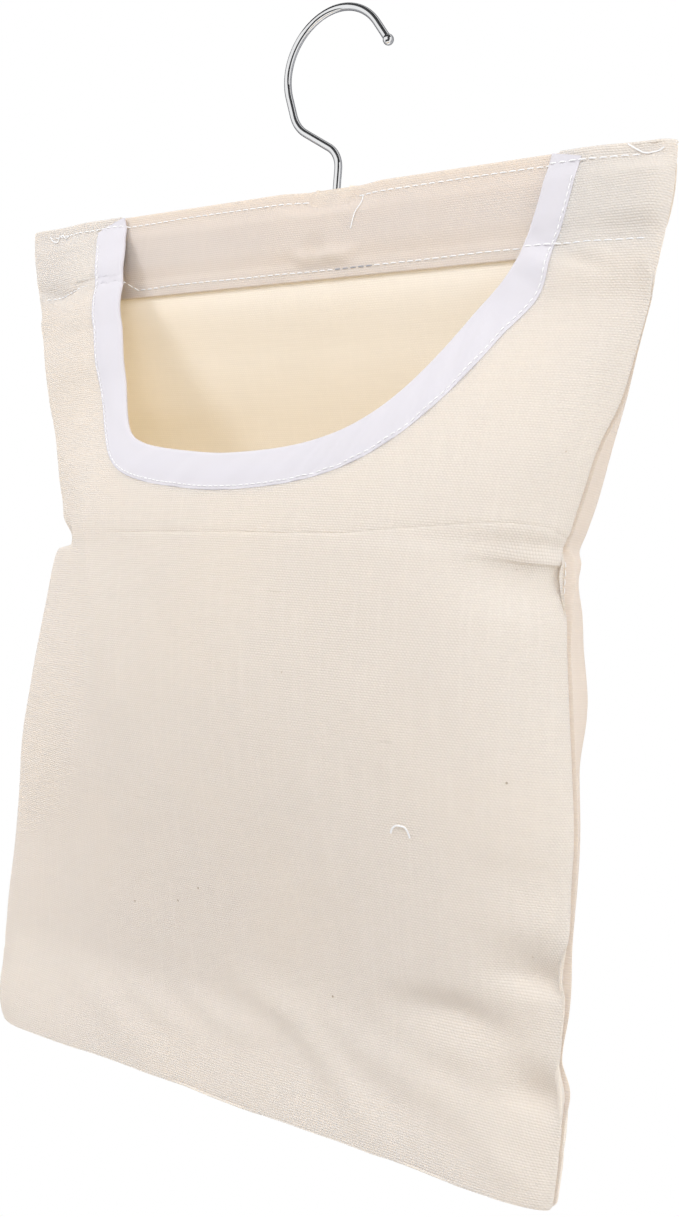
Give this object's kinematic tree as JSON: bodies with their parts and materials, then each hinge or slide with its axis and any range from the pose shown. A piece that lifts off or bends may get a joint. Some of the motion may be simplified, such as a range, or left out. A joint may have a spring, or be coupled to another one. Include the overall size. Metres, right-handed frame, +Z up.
{
  "type": "peg bag",
  "caption": "Hanging canvas peg bag with a scooped tape-bound mouth, sewn over a wooden bar on a swivelling wire hook.",
  "frame": {"origin": "seat of the hook, the inside of the top of its arc", "axes": "+Z up along the hook's shank, -Y out of the front of the bag, +X to the right seen from the front"},
  "size_m": [0.3506, 0.0888, 0.4865],
  "materials": {
    "canvas": "natural unbleached plain-weave cotton canvas",
    "tape": "smooth white cotton bias tape",
    "thread": "white sewing thread",
    "wood": "sanded bare softwood",
    "chrome": "bright chromed steel wire"
  },
  "bodies": {
    "hook": {"hook": "chrome"},
    "bar": {"hanger_bar": "wood", "hook_washer": "chrome"},
    "bag": {"back_panel": "canvas", "front_panel": "canvas", "casing_facing": "canvas", "mouth_binding": "tape", "upper_topstitch_left": "thread", "upper_topstitch_right": "thread", "lower_topstitch": "thread", "upper_bobbin_left": "thread", "upper_bobbin_right": "thread", "lower_bobbin": "thread", "binding_topstitch": "thread", "binding_bobbin": "thread", "side_seam_left": "thread", "side_seam_right": "thread", "bottom_seam": "thread", "bar_tack_left": "thread", "bar_tack_right": "thread"}
  },
  "joints": [
    {"name": "hook_swivel", "type": "hinge", "parent": "hook", "child": "bar", "pos_m": [0.0065, 0, -0.0799], "axis": [0, 0, 1], "continuous": true},
    {"name": "casing_slide", "type": "slide", "parent": "bar", "child": "bag", "axis": [1, 0, 0], "range_m": [-0.006, 0.006]}
  ]
}
